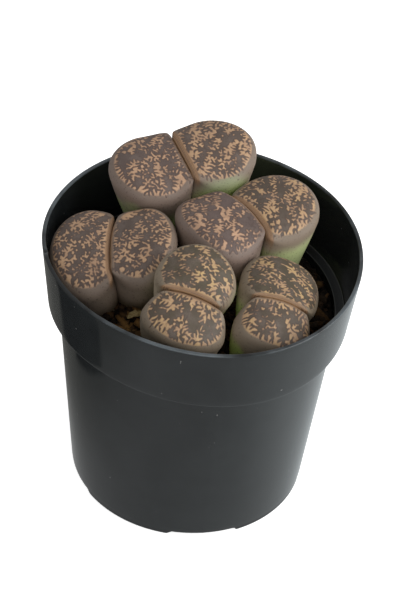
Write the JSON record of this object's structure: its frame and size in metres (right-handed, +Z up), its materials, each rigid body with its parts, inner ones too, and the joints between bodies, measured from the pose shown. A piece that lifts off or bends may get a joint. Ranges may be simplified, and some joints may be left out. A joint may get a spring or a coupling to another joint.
{
  "type": "potted lithops",
  "caption": "Small black plastic nursery pot with a deep band under its rim, filled with bark soil, with two-leaved patterned stone plants growing close together in it.",
  "frame": {"origin": "on the ground under the middle of the pot's box, which is the middle of its feet to within half a millimetre", "axes": "+Z up along the pot's axis; -Y is the front of the pot as pictured"},
  "size_m": [0.0692, 0.071, 0.0725],
  "materials": {
    "pot_plastic": "satin black",
    "bark_soil": "rough bark and grit",
    "lithops_skin": "waxy skin, dark windows with tan islands over grey-mauve and green sides",
    "dry_husk": "dry, matte"
  },
  "bodies": {
    "root": {"pot": "pot_plastic", "soil": "bark_soil", "lithops_back": "lithops_skin", "lithops_right": "lithops_skin", "lithops_left": "lithops_skin", "lithops_front_left": "lithops_skin", "lithops_front_right": "lithops_skin", "husk_flake": "dry_husk"}
  },
  "joints": []
}
